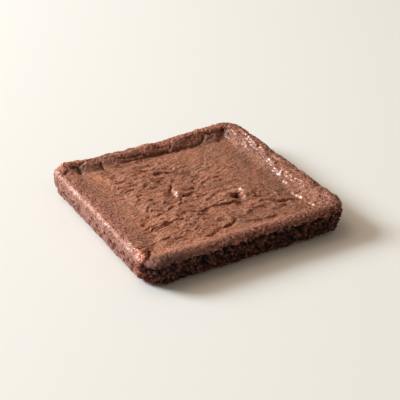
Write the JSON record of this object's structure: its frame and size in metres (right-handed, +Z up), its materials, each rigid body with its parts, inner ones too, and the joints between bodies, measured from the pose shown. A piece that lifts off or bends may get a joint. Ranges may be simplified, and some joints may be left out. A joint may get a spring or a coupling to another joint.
{
  "type": "chocolate brownie",
  "caption": "Whole square chocolate brownie, turned out of its tin in one piece, with a raised rim round a sunken wrinkled top.",
  "frame": {"origin": "middle of the brownie's outline, on the surface that it stands on", "axes": "+Z up, +X to the right along the front edge, +Y from the front edge to the back"},
  "size_m": [0.1988, 0.199, 0.03],
  "materials": {
    "baked_brownie": "thin wrinkled baked crust, satin, over a dark moist crumb"
  },
  "bodies": {
    "root": {"brownie": "baked_brownie"}
  },
  "joints": []
}
